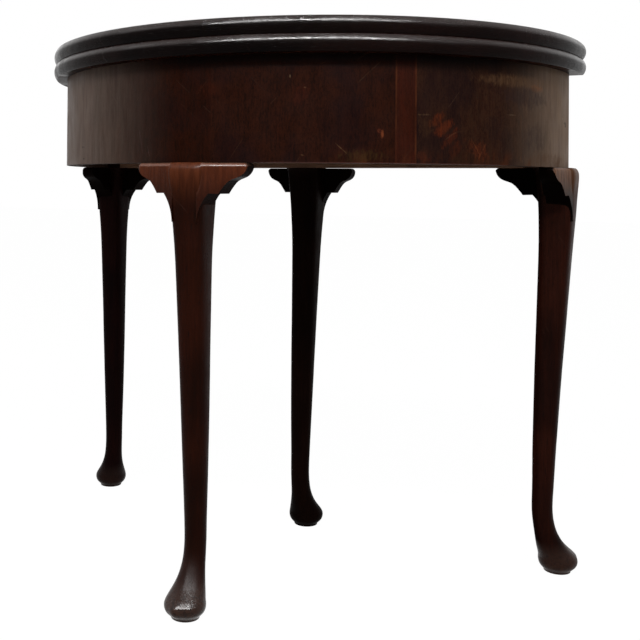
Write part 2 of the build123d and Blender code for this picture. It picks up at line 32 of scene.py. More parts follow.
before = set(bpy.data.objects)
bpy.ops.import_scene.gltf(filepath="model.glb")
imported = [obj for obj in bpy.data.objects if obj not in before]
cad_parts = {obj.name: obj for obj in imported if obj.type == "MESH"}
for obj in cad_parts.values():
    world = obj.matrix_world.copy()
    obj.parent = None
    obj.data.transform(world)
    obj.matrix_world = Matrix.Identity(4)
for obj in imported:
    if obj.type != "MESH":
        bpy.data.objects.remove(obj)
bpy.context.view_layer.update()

# The middle of the half-round plan, and the radius and heights of the frieze, taken from the model
leaf_low, leaf_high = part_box("upper_leaf")
leaf_radius = (leaf_high.x - leaf_low.x) / 2
round_centre_y = leaf_low.y + leaf_radius
frieze_low, frieze_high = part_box("frieze_veneer_1")
frieze_radius = -frieze_low.x
frieze_bottom = frieze_low.z
frieze_top = frieze_high.z

# A span says where a look comes in and where it is full. These are heights on the legs
# The knee's painted light comes in towards the top of the legs, and its painted shade on the sides turned
# away
knee_light_span = (0.490, 0.588)
knee_shade_span = (0.44, 0.53)
foot_polish_span = (0.046, 0.022)
foot_scuff_span = (0.020, 0.004)

# The upward part of a face's normal: 0 on an upright face, 1 on top and -1 underneath
looks_up_span = (0.93, 0.99)
looks_down_span = (-0.93, -0.99)
leans_up_span = (0.00, 0.50)

# How far a face turns to the lit side that gets the knee's painted light, and the shine that is left where it
# turns away
lit_side_span = (0.20, 0.80)
shine_side_span = (0.0, 0.4)
turned_away_shine = 0.08

# Along the curve of the frieze, counted from its middle
# Where the painted sheen comes in at each end, and where its paint turns from cool to warm
sheen_left_span = (-0.015, -0.275)
sheen_right_span = (0.390, 0.575)
sheen_turns_warm_span = (-0.1, 0.1)
low_wear_span = (0.10, 0.20)
# Where the painted highlight along the lower rim fades out at each end
rim_highlight_left_span = (0.07, 0.11)
rim_highlight_right_span = (0.42, 0.37)
# Where the painted shadow under the leaf fades out at each end
shadow_left_span = (-0.12, 0.02)
shadow_right_span = (0.50, 0.36)
strip_left_span = (0.2515, 0.2500)
strip_right_span = (0.2722, 0.2740)

# Heights on the frieze, for its worn lower edge, the painted highlight on the rim and the painted shadow
# under the leaf
low_wear_height_span = (frieze_bottom + 0.024, frieze_bottom + 0.002)
rim_highlight_height_span = (frieze_bottom + 0.0014, frieze_bottom + 0.0006)
shadow_height_span = (frieze_top - 0.022, frieze_top - 0.004)

# How deep the height maps of the finishes go
polished_wood_depth = 0.0005
veneer_depth = 0.0004
plain_wood_depth = 0.0005
metal_depth = 0.00008
baize_depth = 0.00035

# How light bends in polish, and how strongly the veneer mirrors
polish_ior = 1.45
veneer_polish = 0.020

# How closely the bands of the figure lie
polished_wood_bands = 38.0
veneer_bands = 105.0
plain_wood_bands = 75.0

# How wide an edge is rubbed, and the angles at which scratches run
polished_edge = 0.0018
plain_edge = 0.0015
metal_edge = 0.0006
polished_scratch_turn = 0.5
veneer_scratch_turns = (0.8, -0.7)


def paint(red, green, blue):
    """A colour written as it looks on a screen, from 0 to 255, turned into light values."""
    def light(part):
        share = part / 255
        return share / 12.92 if share <= 0.04045 else ((share + 0.055) / 1.055) ** 2.4
    return (light(red), light(green), light(blue), 1.0)


# Node helpers. Most add nodes to a tree and give back the socket with the result.

def fill(tree, socket, value):
    """Links a socket to another one, or gives it a fixed value."""
    if isinstance(value, bpy.types.NodeSocket):
        tree.links.new(value, socket)
    else:
        socket.default_value = value


def put(tree, kind, sockets=None, **choices):
    """Adds one node, makes its choices and fills its sockets."""
    made = tree.nodes.new(kind)
    for name, value in choices.items():
        setattr(made, name, value)
    for name, value in (sockets or {}).items():
        fill(tree, made.inputs[name], value)
    return made


def reckon(tree, operation, *values):
    """One sum on numbers."""
    made = put(tree, "ShaderNodeMath", operation=operation)
    for number, value in enumerate(values):
        fill(tree, made.inputs[number], value)
    return made.outputs[0]


def times(tree, first, *others):
    """The product of two or more numbers, worked out from the last one back."""
    return reckon(tree, "MULTIPLY", first, times(tree, *others)) if others else first


def minus(tree, first, second):
    """One number less another."""
    return reckon(tree, "SUBTRACT", first, second)


def larger(tree, first, second):
    """The larger of two numbers."""
    return reckon(tree, "MAXIMUM", first, second)


def add_shares(tree, value, *parts):
    """A number with shares of others added to it, each given as the other number and its share."""
    for part, share in parts:
        value = reckon(tree, "ADD", value, times(tree, part, share))
    return value


def vectors(tree, operation, *values):
    """One sum on vectors."""
    made = put(tree, "ShaderNodeVectorMath", operation=operation)
    for number, value in enumerate(values):
        fill(tree, made.inputs[number], value)
    return made.outputs["Value" if operation in ("LENGTH", "DOT_PRODUCT") else "Vector"]


def split(tree, vector):
    """The X, Y and Z of a vector."""
    return put(tree, "ShaderNodeSeparateXYZ", {"Vector": vector}).outputs


def join(tree, x, y, z):
    """A vector of three numbers."""
    return put(tree, "ShaderNodeCombineXYZ", {"X": x, "Y": y, "Z": z}).outputs["Vector"]


def draw_out(tree, vector, share):
    """Makes what is drawn with a vector longer along Z, the longer the smaller the share."""
    return vectors(tree, "MULTIPLY", vector, (1.0, 1.0, share))


def ease(tree, value, start, end, low=0.0, high=1.0):
    """A smooth step from low to high while a value goes from start to end."""
    made = put(tree, "ShaderNodeMapRange", {"Value": value, "From Min": start, "From Max": end,
                                            "To Min": low, "To Max": high}, interpolation_type="SMOOTHSTEP")
    return made.outputs["Result"]


def cloud(tree, vector, scale, seed, detail, rough=0.5):
    """Soft noise, from 0 to 1, with a seed that sets which cloud it is."""
    made = put(tree, "ShaderNodeTexNoise", {"Vector": vector, "W": seed, "Scale": scale, "Detail": detail,
                                            "Roughness": rough}, noise_dimensions="4D")
    return made.outputs["Fac"]


def patches(tree, vector, scale, seed, detail, between, rough=0.5, low=0.0, high=1.0):
    """Patches with soft edges: a cloud that is low under the first level of between, high over the second."""
    soft = cloud(tree, vector, scale, seed, detail, rough)
    return ease(tree, soft, *between, low=low, high=high)


def tint(tree, share, first, second):
    """Two colours mixed by a share."""
    made = tree.nodes.new("ShaderNodeMix")
    made.data_type = "RGBA"
    fill(tree, made.inputs["Factor"], share)
    fill(tree, made.inputs[6], first)
    fill(tree, made.inputs[7], second)
    return made.outputs[2]


def layers(tree, colour, *covers):
    """A colour with others laid over it in turn, each given as its mask, its strength and its paint."""
    for mask, strength, cover in covers:
        colour = tint(tree, times(tree, mask, strength), colour, cover)
    return colour


def bump(tree, shader, height, depth):
    """Raises or sinks the surface by a height map of a given depth."""
    made = put(tree, "ShaderNodeBump", {"Height": height, "Distance": depth, "Strength": 1.0})
    tree.links.new(made.outputs["Normal"], shader["Normal"])


def new_group(name, takes, gives):
    """A node group with named inputs and outputs."""
    tree = bpy.data.node_groups.new(name, "ShaderNodeTree")
    for label, kind, value in takes:
        socket = tree.interface.new_socket(label, in_out="INPUT", socket_type="NodeSocket" + kind)
        if value is not None:
            socket.default_value = value
    for label, kind in gives:
        tree.interface.new_socket(label, in_out="OUTPUT", socket_type="NodeSocket" + kind)
    return tree, tree.nodes.new("NodeGroupInput").outputs, tree.nodes.new("NodeGroupOutput").inputs


def place_group(tree, group, sockets):
    """Puts a shared group into a material and fills its inputs."""
    made = tree.nodes.new("ShaderNodeGroup")
    made.node_tree = group
    for name, value in sockets.items():
        fill(tree, made.inputs[name], value)
    return made.outputs


# Shared node groups

def make_wood_figure():
    """Broad bands, fine streaks and open pores of wood whose grain runs along Z."""
    tree, takes, gives = new_group(
        "wood figure",
        [("Vector", "Vector", None), ("Band Scale", "Float", 40.0), ("Seed", "Float", 0.0)],
        [("Figure", "Float"), ("Streaks", "Float"), ("Pores", "Float")])
    seed = takes["Seed"]
    stretched = draw_out(tree, takes["Vector"], 0.13)
    drift = put(tree, "ShaderNodeTexNoise", {"Vector": stretched, "W": seed, "Scale": 7.0, "Detail": 1.0},
                noise_dimensions="4D").outputs["Color"]
    bent = vectors(tree, "ADD", stretched, vectors(tree, "MULTIPLY", drift, (0.03, 0.03, 0.03)))
    figure = patches(tree, bent, scale=takes["Band Scale"], seed=seed, detail=4.0, between=(0.34, 0.66),
                     rough=0.6)
    streaks = patches(tree, draw_out(tree, bent, 0.22), scale=380.0, seed=seed, detail=3.0,
                      between=(0.32, 0.68), rough=0.6)
    pores = patches(tree, draw_out(tree, takes["Vector"], 0.05), scale=1500.0, seed=seed, detail=1.0,
                    between=(0.60, 0.72))
    tree.links.new(figure, gives["Figure"])
    tree.links.new(streaks, gives["Streaks"])
    tree.links.new(pores, gives["Pores"])
    return tree


def make_round_the_frieze():
    """Turns a place on the curved front into its distance along the curve, its depth and its height."""
    tree, takes, gives = new_group("round the frieze", [("Vector", "Vector", None)], [("Vector", "Vector")])
    parts = split(tree, takes["Vector"])
    forward = minus(tree, round_centre_y, parts["Y"])
    along = times(tree, reckon(tree, "ARCTAN2", parts["X"], forward), frieze_radius)
    across = reckon(tree, "ADD", reckon(tree, "POWER", parts["X"], 2.0), reckon(tree, "POWER", forward, 2.0))
    depth = reckon(tree, "SQRT", across)
    tree.links.new(join(tree, along, depth, parts["Z"]), gives["Vector"])
    return tree


def make_worn_spot():
    """A ragged spot of a given place and half size, which may lean."""
    tree, takes, gives = new_group(
        "worn spot",
        [("Vector", "Vector", None), ("Centre", "Vector", None), ("Half Size", "Vector", (0.01, 1.0, 0.01)),
         ("Lean", "Float", 0.0), ("Raggedness", "Float", 2.0)],
        [("Mask", "Float")])
    parts = split(tree, vectors(tree, "SUBTRACT", takes["Vector"], takes["Centre"]))
    leaning = add_shares(tree, parts["X"], (parts["Z"], takes["Lean"]))
    straight = join(tree, leaning, parts["Y"], parts["Z"])
    reach = vectors(tree, "LENGTH", vectors(tree, "DIVIDE", straight, takes["Half Size"]))
    frayed = cloud(tree, draw_out(tree, takes["Vector"], 0.45), scale=230.0, seed=3.0, detail=5.0, rough=0.7)
    ragged = minus(tree, frayed, 0.5)
    edge = add_shares(tree, reach, (ragged, takes["Raggedness"]))
    tree.links.new(ease(tree, edge, 1.25, 0.55), gives["Mask"])
    return tree


def make_fine_scratches():
    """Long thin scratches that lie mostly one way and come and go."""
    tree, takes, gives = new_group(
        "fine scratches",
        [("Vector", "Vector", None), ("Turn", "Float", 0.0), ("Seed", "Float", 0.0)], [("Mask", "Float")])
    turned = put(tree, "ShaderNodeVectorRotate", {"Vector": takes["Vector"], "Angle": takes["Turn"]},
                 rotation_type="Y_AXIS").outputs["Vector"]
    drawn = vectors(tree, "MULTIPLY", turned, (22.0, 22.0, 2.4))
    lines = cloud(tree, drawn, scale=1.0, seed=takes["Seed"], detail=0.0)
    off_middle = reckon(tree, "ABSOLUTE", minus(tree, lines, 0.5))
    thin = ease(tree, off_middle, 0.0025, 0.0008)
    there = patches(tree, takes["Vector"], scale=26.0, seed=takes["Seed"], detail=1.0, between=(0.56, 0.66))
    tree.links.new(times(tree, thin, there), gives["Mask"])
    return tree


def make_rubbed_edges():
    """Where an edge has been rubbed by hands and dusters."""
    tree, takes, gives = new_group(
        "rubbed edges",
        [("Vector", "Vector", None), ("Radius", "Float", 0.002), ("Seed", "Float", 0.0)], [("Mask", "Float")])
    rounded = put(tree, "ShaderNodeBevel", {"Radius": takes["Radius"]}, samples=4).outputs["Normal"]
    flat = tree.nodes.new("ShaderNodeNewGeometry").outputs["Normal"]
    turned = ease(tree, vectors(tree, "DOT_PRODUCT", rounded, flat), 0.995, 0.86)
    patchy = patches(tree, takes["Vector"], scale=70.0, seed=takes["Seed"], detail=3.0, between=(0.35, 0.62))
    tree.links.new(times(tree, turned, patchy), gives["Mask"])
    return tree


wood_figure = make_wood_figure()
round_the_frieze = make_round_the_frieze()
worn_spot = make_worn_spot()
fine_scratches = make_fine_scratches()
rubbed_edges = make_rubbed_edges()


def figure_maps(tree, run, bands, seed):
    """The figure, streaks and pores of wood, its grain along the Z of run."""
    return place_group(tree, wood_figure, {"Vector": run, "Band Scale": bands, "Seed": seed})


def rubbed_mask(tree, place, radius, seed):
    """Where edges up to a radius have been rubbed."""
    return place_group(tree, rubbed_edges, {"Vector": place, "Radius": radius, "Seed": seed})["Mask"]


def scratch_mask(tree, place, turn, seed):
    """Where fine scratches run, turned by an angle."""
    return place_group(tree, fine_scratches, {"Vector": place, "Turn": turn, "Seed": seed})["Mask"]


# Finishes

def start_finish(name):
    """A new material, its tree, the inputs of its shader and the place on the piece."""
    made = bpy.data.materials.new(name)
    made.use_nodes = True
    made.node_tree.nodes.clear()
    tree = made.node_tree
    shader = tree.nodes.new("ShaderNodeBsdfPrincipled")
    out = tree.nodes.new("ShaderNodeOutputMaterial")
    tree.links.new(shader.outputs["BSDF"], out.inputs["Surface"])
    place = tree.nodes.new("ShaderNodeTexCoord").outputs["Object"]
    return made, tree, shader.inputs, place


def along_grain(tree, place, grain):
    """Turns a place round so that the grain runs along Z."""
    if grain == "Z":
        return place
    parts = split(tree, place)
    first, second = ("Y", "Z") if grain == "X" else ("X", "Z")
    return join(tree, parts[first], parts[second], parts[grain])


def knee_light_layer(tree, place, colour, knee, seed, lit_side):
    """The knee's painted light, in ribbons towards the top, and painted shade on the sides turned away from
    the light.
    """
    level = split(tree, place)["Z"]
    ribbons = patches(tree, draw_out(tree, place, 0.12), scale=240.0, seed=seed, detail=3.0,
                      between=(0.35, 0.65))
    share = times(tree, ease(tree, level, *knee_light_span),
                  ease(tree, ribbons, 0.0, 1.0, low=0.60, high=0.95))
    if lit_side is not None:
        painted_shade = times(tree, ease(tree, level, *knee_shade_span), minus(tree, 1.0, lit_side))
        colour = layers(tree, colour, (painted_shade, 0.8, paint(5, 3, 2)))
        share = times(tree, share, lit_side)
    return tint(tree, share, colour, knee)


def wear_and_light_foot(tree, place, dark, seed, amount, colour, rough, height, shine):
    """A foot that is scuffed at the floor, and paler, shinier and pitted above it. The paler paint is partly
    wear and partly painted light, and amount sets how much each leg gets by how lit its foot is.
    """
    level = split(tree, place)["Z"]
    scuffed = times(tree, ease(tree, level, *foot_scuff_span),
                    patches(tree, place, scale=120.0, seed=seed, detail=3.0, between=(0.38, 0.60)))
    foot = times(tree, ease(tree, level, *foot_polish_span), amount)
    pits = times(tree, foot,
                 patches(tree, place, scale=260.0, seed=seed + 3.0, detail=2.0, between=(0.50, 0.62)))
    colour = layers(tree, colour, (scuffed, 0.6 * amount, paint(70, 50, 38)), (foot, 0.60, paint(60, 36, 24)),
                    (pits, 0.75, dark))
    rough = add_shares(tree, rough, (foot, -0.10))
    height = add_shares(tree, height, (pits, -0.15))
    shine = add_shares(tree, shine, (foot, 0.13))
    return colour, rough, height, shine


def polished_wood(name, grain, paints, seed, rough, edge, polish, rubbing, bands=polished_wood_bands,
                  bright_up=0.0, painted_up_light=None, level_paints=None, foot_wear_and_light=0.0, knee=None, faces=None):
    """Old polished mahogany: dark polish over figured wood, rubbed edges, scratches and open pores.

    The knee's paint is painted light: it shows towards the top, and where faces is given only on the lit side
    that faces that way, with painted shade on the sides turned away.
    What leans up has kept more of its polish and may be painted lighter as painted light from above, and
    level faces are duller and may show their own figure."""
    dark, brown, warm = paints
    made, tree, shader, place = start_finish(name)
    run = along_grain(tree, place, grain)
    wood = figure_maps(tree, run, bands, seed)
    faded = patches(tree, place, scale=7.0, seed=seed + 5.0, detail=2.0, between=(0.42, 0.66))
    colour = layers(tree, tint(tree, wood["Figure"], dark, brown), (faded, 0.75, warm),
                    (wood["Streaks"], 0.45, dark), (wood["Pores"], 0.7, paint(10, 5, 4)))

    normal = tree.nodes.new("ShaderNodeTexCoord").outputs["Normal"]
    upward = split(tree, normal)["Z"]
    level_face = larger(tree, ease(tree, upward, *looks_up_span), ease(tree, upward, *looks_down_span))
    upper_side = times(tree, ease(tree, upward, *leans_up_span), minus(tree, 1.0, level_face))
    shine = ease(tree, upper_side, 0.0, 1.0, low=polish, high=polish + bright_up)
    # Upward-leaning faces are painted lighter: painted light from above
    if painted_up_light:
        colour = layers(tree, colour, (upper_side, 0.6, painted_up_light))
    if level_paints:
        level_grain = layers(tree, tint(tree, wood["Figure"], *level_paints), (wood["Pores"], 0.6, dark))
        colour = layers(tree, colour, (level_face, 0.85, level_grain))

    lit_side = None
    if faces:
        facing = vectors(tree, "DOT_PRODUCT", normal, faces)
        lit_side = ease(tree, facing, *lit_side_span)
        shine = times(tree, shine, ease(tree, facing, *shine_side_span, low=turned_away_shine))
    if knee:
        colour = knee_light_layer(tree, place, colour, knee, seed, lit_side)

    rubbed = rubbed_mask(tree, place, polished_edge, seed)
    scratched = scratch_mask(tree, place, polished_scratch_turn, seed)
    colour = layers(tree, colour, (rubbed, rubbing, edge), (scratched, 0.5, edge))
    rough_map = patches(tree, place, scale=30.0, seed=seed + 9.0, detail=3.0, between=(0.30, 0.70),
                        low=rough - 0.07, high=rough + 0.12)
    rough_map = add_shares(tree, rough_map, (wood["Pores"], 0.12), (level_face, 0.14), (rubbed, 0.15))
    height = times(tree, cloud(tree, place, scale=55.0, seed=seed, detail=2.0), 0.8)
    height = add_shares(tree, height, (wood["Pores"], -0.25), (scratched, -0.3), (wood["Streaks"], 0.12))
    # The paler foot is partly wear and partly painted light
    if foot_wear_and_light:
        colour, rough_map, height, shine = wear_and_light_foot(tree, place, dark, seed, foot_wear_and_light, colour, rough_map,
                                                     height, shine)
    tree.links.new(shine, shader["Specular IOR Level"])
    tree.links.new(colour, shader["Base Color"])
    tree.links.new(rough_map, shader["Roughness"])
    bump(tree, shader, height, polished_wood_depth)
    shader["IOR"].default_value = polish_ior
    return made


# Marks on the curved front: distance along the curve from its middle, height, half sizes, lean, raggedness,
# colour and strength
marks = [
    (0.3030, 0.6020, 0.0085, 0.0090, -0.75, 2.2, paint(84, 34, 14), 0.85),
    (0.3110, 0.5920, 0.0100, 0.0110, -0.75, 2.2, paint(88, 36, 16), 0.85),
    (0.3200, 0.5800, 0.0090, 0.0110, -0.75, 2.6, paint(76, 30, 14), 0.75),
    (0.3270, 0.5670, 0.0085, 0.0120, -0.45, 3.2, paint(64, 26, 13), 0.65),
    (0.2880, 0.5960, 0.0120, 0.0120, 0.00, 4.0, paint(58, 36, 22), 0.55),
    (0.2330, 0.5830, 0.0020, 0.0050, 0.00, 2.0, paint(130, 66, 38), 0.75),
    (0.2295, 0.5870, 0.0026, 0.0026, 0.00, 2.0, paint(104, 48, 30), 0.50),
    (0.3620, 0.5660, 0.0130, 0.0100, 0.60, 4.5, paint(84, 36, 18), 0.55),
    (0.3570, 0.5700, 0.0009, 0.0110, 0.70, 1.6, paint(112, 60, 34), 0.45),
    (0.3660, 0.5640, 0.0009, 0.0100, -0.60, 1.6, paint(112, 60, 34), 0.40),
    (0.2860, 0.6070, 0.0080, 0.0010, -0.20, 2.4, paint(96, 72, 52), 0.40),
    (0.2850, 0.5560, 0.0100, 0.0070, 0.60, 4.5, paint(72, 30, 16), 0.50),
    (0.2080, 0.5570, 0.0220, 0.0070, 0.00, 4.5, paint(60, 44, 20), 0.45),
    (0.1850, 0.5655, 0.0010, 0.0060, 1.10, 1.6, paint(110, 80, 54), 0.45),
    (0.1242, 0.6508, 0.0010, 0.0022, 0.00, 1.4, paint(112, 90, 66), 0.60),
    (0.1419, 0.6374, 0.0014, 0.0010, 0.00, 1.4, paint(124, 84, 60), 0.60),
    (0.1390, 0.5579, 0.0022, 0.0010, 1.00, 1.6, paint(100, 68, 46), 0.50),
    (0.1350, 0.6280, 0.0100, 0.0110, 0.00, 3.5, paint(62, 22, 10), 0.45),
    (0.0230, 0.6370, 0.0120, 0.0080, 0.00, 3.5, paint(60, 22, 10), 0.40),
    (0.4178, 0.6116, 0.0090, 0.0010, 0.15, 2.2, paint(96, 78, 60), 0.45),
    (0.4350, 0.6540, 0.0700, 0.0080, 0.00, 2.0, paint(96, 70, 48), 0.60),
    (0.4730, 0.6480, 0.0150, 0.0050, 0.00, 3.0, paint(122, 76, 46), 0.50),
    (0.4480, 0.6350, 0.0460, 0.0120, 0.00, 3.5, paint(32, 22, 26), 0.60),
    (0.4680, 0.5850, 0.0270, 0.0150, 0.00, 3.5, paint(38, 28, 30), 0.50),
    (0.3880, 0.5930, 0.0140, 0.0150, 0.00, 3.5, paint(20, 12, 14), 0.50),
    (0.4950, 0.5560, 0.0600, 0.0100, 0.00, 3.0, paint(82, 58, 42), 0.60),
    (0.5000, 0.5900, 0.0100, 0.0220, 0.00, 3.5, paint(88, 72, 58), 0.45),
    (0.5400, 0.6140, 0.0040, 0.0100, 0.00, 2.5, paint(120, 98, 74), 0.45),
    (-0.0780, 0.5750, 0.0010, 0.0170, 0.20, 1.8, paint(74, 56, 54), 0.45),
    (-0.0650, 0.5620, 0.0008, 0.0080, 0.25, 1.8, paint(86, 68, 62), 0.45),
    (0.5560, 0.6140, 0.0030, 0.0016, 0.00, 1.4, paint(150, 132, 116), 0.50),
    (0.5700, 0.6085, 0.0060, 0.0018, 0.45, 1.6, paint(8, 4, 4), 0.95),
    (0.5720, 0.6050, 0.0040, 0.0018, -0.60, 1.6, paint(8, 4, 4), 0.95),
    (-0.2200, 0.5720, 0.0050, 0.0014, 0.40, 3.0, paint(22, 14, 14), 0.60),
    (-0.2160, 0.5560, 0.0030, 0.0014, 0.00, 2.0, paint(12, 8, 8), 0.70),
    (0.0020, 0.6070, 0.0005, 0.0170, 1.20, 0.8, paint(60, 38, 26), 0.35),
]


def veneer_ground(tree, run, wood, fine, dark, brown, warm, clouded, seed):
    """The bare sheet of veneer: its figure, fine grain, flecks and the smoky clouds in its polish."""
    fine_grain = ease(tree, fine, 0.38, 0.62, high=0.55)
    flecks = patches(tree, draw_out(tree, run, 0.55), scale=620.0, seed=seed + 7.0, detail=2.0,
                     between=(0.50, 0.66), rough=0.6, high=0.55)
    patchy = patches(tree, draw_out(tree, run, 0.8), scale=85.0, seed=seed + 8.0, detail=3.0,
                     between=(0.46, 0.66), rough=0.6, high=0.40)
    smoky = patches(tree, draw_out(tree, run, 0.7), scale=15.0, seed=seed + 2.0, detail=2.0,
                    between=(0.44, 0.60))
    return layers(tree, tint(tree, wood["Figure"], dark, brown), (wood["Streaks"], 0.35, warm),
                  (fine_grain, 1.0, warm), (flecks, 1.0, dark), (patchy, 1.0, warm),
                  (smoky, clouded, paint(19, 8, 11)), (wood["Pores"], 0.6, paint(12, 6, 5)))


def veneer_marks(tree, run, colour, wood, fine):
    """Lays the marks of the curved front over a colour, broken up by the grain."""
    grain_shows = times(tree, ease(tree, wood["Streaks"], 0.1, 0.9, low=1.0, high=0.6),
                        ease(tree, fine, 0.32, 0.60, low=0.25))
    for along, height, half_along, half_height, lean, raggedness, mark_paint, strength in marks:
        mask = place_group(tree, worn_spot, {"Vector": run, "Centre": (along, frieze_radius, height),
                                             "Half Size": (half_along, 1.0, half_height), "Lean": lean,
                                             "Raggedness": raggedness})["Mask"]
        share = times(tree, times(tree, mask, strength), grain_shows)
        colour = tint(tree, share, colour, mark_paint)
    return colour


def veneer(name, dark, brown, warm, clouded, seed, rough, red_strip=False):
    """A sheet of the frieze's mahogany veneer, its grain upright, with wear, clouded polish and marks, a
    painted sheen towards both ends, a painted highlight along its lower rim and a painted shadow under the
    leaf.
    """
    made, tree, shader, place = start_finish(name)
    run = place_group(tree, round_the_frieze, {"Vector": place})["Vector"]
    along, _, height = split(tree, run)
    wood = figure_maps(tree, run, veneer_bands, seed)
    fine = cloud(tree, draw_out(tree, run, 0.35), scale=420.0, seed=seed + 6.0, detail=3.0, rough=0.7)
    colour = veneer_ground(tree, run, wood, fine, dark, brown, warm, clouded, seed)

    # Painted sheen: grey and mottled paint towards both ends of the curve, where the surface turns away and
    # mirrors the bright surroundings
    mottled = cloud(tree, draw_out(tree, run, 0.16), scale=130.0, seed=12.0, detail=4.0, rough=0.65)
    painted_sheen = times(tree, larger(tree, ease(tree, along, *sheen_left_span), ease(tree, along, *sheen_right_span)),
                 ease(tree, mottled, 0.25, 0.70, low=0.62))
    sheen_paint = tint(tree, ease(tree, along, *sheen_turns_warm_span), paint(120, 104, 94), paint(136, 114, 96))

    # The lower edge is worn to the wood in patches, and a pale painted highlight runs along its rim
    bare_patches = patches(tree, draw_out(tree, run, 0.35), scale=60.0, seed=8.0, detail=3.0,
                           between=(0.46, 0.66))
    worn_low = times(tree, ease(tree, height, *low_wear_height_span), bare_patches,
                     ease(tree, along, *low_wear_span))
    rim_highlight = times(tree, ease(tree, height, *rim_highlight_height_span), ease(tree, along, *rim_highlight_left_span),
                ease(tree, along, *rim_highlight_right_span))
    colour = layers(tree, colour, (painted_sheen, 0.85, sheen_paint), (worn_low, 0.5, paint(78, 38, 18)),
                    (rim_highlight, 0.3, paint(110, 74, 66)))
    if red_strip:
        edges = larger(tree, ease(tree, along, *strip_right_span), ease(tree, along, *strip_left_span))
        broken = ease(tree, mottled, 0.40, 0.60, low=0.05, high=0.25)
        colour = layers(tree, colour, (edges, broken, paint(112, 62, 36)))
    colour = veneer_marks(tree, run, colour, wood, fine)

    # A painted shadow darkens the top of the frieze under the leaf, and scratches cross two ways
    painted_shadow = times(tree, ease(tree, height, *shadow_height_span), ease(tree, along, *shadow_left_span),
                  ease(tree, along, *shadow_right_span))
    one_way, other_way = veneer_scratch_turns
    scratched = larger(tree, scratch_mask(tree, run, one_way, seed + 1.0),
                       scratch_mask(tree, run, other_way, seed + 4.0))
    colour = layers(tree, colour, (painted_shadow, 0.85, paint(4, 2, 2)), (scratched, 0.2, paint(98, 68, 46)))
    tree.links.new(colour, shader["Base Color"])

    rough_map = patches(tree, run, scale=24.0, seed=seed + 3.0, detail=3.0, between=(0.30, 0.70),
                        low=rough - 0.06, high=rough + 0.12)
    tree.links.new(add_shares(tree, rough_map, (worn_low, 0.2)), shader["Roughness"])
    relief = add_shares(tree, times(tree, wood["Streaks"], 0.25), (wood["Pores"], -0.3), (scratched, -0.4))
    relief = reckon(tree, "ADD", relief, cloud(tree, run, scale=40.0, seed=seed, detail=2.0))
    bump(tree, shader, relief, veneer_depth)
    shader["IOR"].default_value = polish_ior
    shader["Specular IOR Level"].default_value = veneer_polish
    return made


def plain_wood(name, grain, pale, ring, grime, seed, saw_marks=True, polish=0.25):
    """Unpolished wood inside the table: growth rings, saw marks, dust and age."""
    made, tree, shader, place = start_finish(name)
    run = along_grain(tree, place, grain)
    wood = figure_maps(tree, run, plain_wood_bands, seed)
    stained = patches(tree, place, scale=11.0, seed=seed + 6.0, detail=4.0, between=(0.45, 0.68))
    rubbed = rubbed_mask(tree, place, plain_edge, seed)
    colour = layers(tree, tint(tree, wood["Figure"], pale, ring), (wood["Streaks"], 0.35, ring),
                    (wood["Pores"], 0.3, grime), (stained, 0.6, grime), (rubbed, 0.4, grime))
    tree.links.new(colour, shader["Base Color"])
    tree.links.new(ease(tree, stained, 0.0, 1.0, low=0.62, high=0.80), shader["Roughness"])
    shader["Specular IOR Level"].default_value = polish
    relief = times(tree, wood["Streaks"], 0.5)
    if saw_marks:
        saw = put(tree, "ShaderNodeTexWave", {"Vector": run, "Scale": 120.0, "Distortion": 2.5,
                                              "Detail": 2.0}, bands_direction="Z")
        relief = add_shares(tree, relief, (saw.outputs["Fac"], 0.5))
    bump(tree, shader, relief, plain_wood_depth)
    return made


def old_metal(name, bright, tarnish, seed, rough):
    """Old brass or iron: clean where it is rubbed, dull and spotted elsewhere."""
    made, tree, shader, place = start_finish(name)
    dull = patches(tree, place, scale=90.0, seed=seed, detail=4.0, between=(0.38, 0.64))
    spots = patches(tree, place, scale=520.0, seed=seed + 1.0, detail=2.0, between=(0.58, 0.66))
    rubbed = rubbed_mask(tree, place, metal_edge, seed)
    colour = layers(tree, tint(tree, dull, bright, tarnish), (spots, 0.5, tarnish), (rubbed, 0.8, bright))
    tree.links.new(colour, shader["Base Color"])
    shader["Metallic"].default_value = 1.0
    tree.links.new(ease(tree, dull, 0.0, 1.0, low=rough, high=rough + 0.25), shader["Roughness"])
    grain = cloud(tree, place, scale=700.0, seed=seed, detail=2.0)
    bump(tree, shader, reckon(tree, "ADD", spots, grain), metal_depth)
    return made


def baize(name, seed):
    """Old green woollen cloth, felted and a little faded and rubbed."""
    made, tree, shader, place = start_finish(name)
    faded = patches(tree, place, scale=6.0, seed=seed, detail=3.0, between=(0.38, 0.64))
    fuzz = cloud(tree, place, scale=1900.0, seed=seed + 1.0, detail=3.0, rough=0.7)
    thin = patches(tree, place, scale=34.0, seed=seed + 2.0, detail=4.0, between=(0.62, 0.76))
    colour = layers(tree, tint(tree, faded, paint(38, 78, 50), paint(62, 96, 58)),
                    (ease(tree, fuzz, 0.35, 0.70, high=0.5), 1.0, paint(24, 54, 34)),
                    (thin, 0.5, paint(104, 104, 66)))
    tree.links.new(colour, shader["Base Color"])
    tree.links.new(ease(tree, faded, 0.0, 1.0, low=0.86, high=0.96), shader["Roughness"])
    shader["Sheen Weight"].default_value = 0.25
    shader["Sheen Roughness"].default_value = 0.5
    bump(tree, shader, add_shares(tree, fuzz, (thin, -0.6)), baize_depth)
    return made


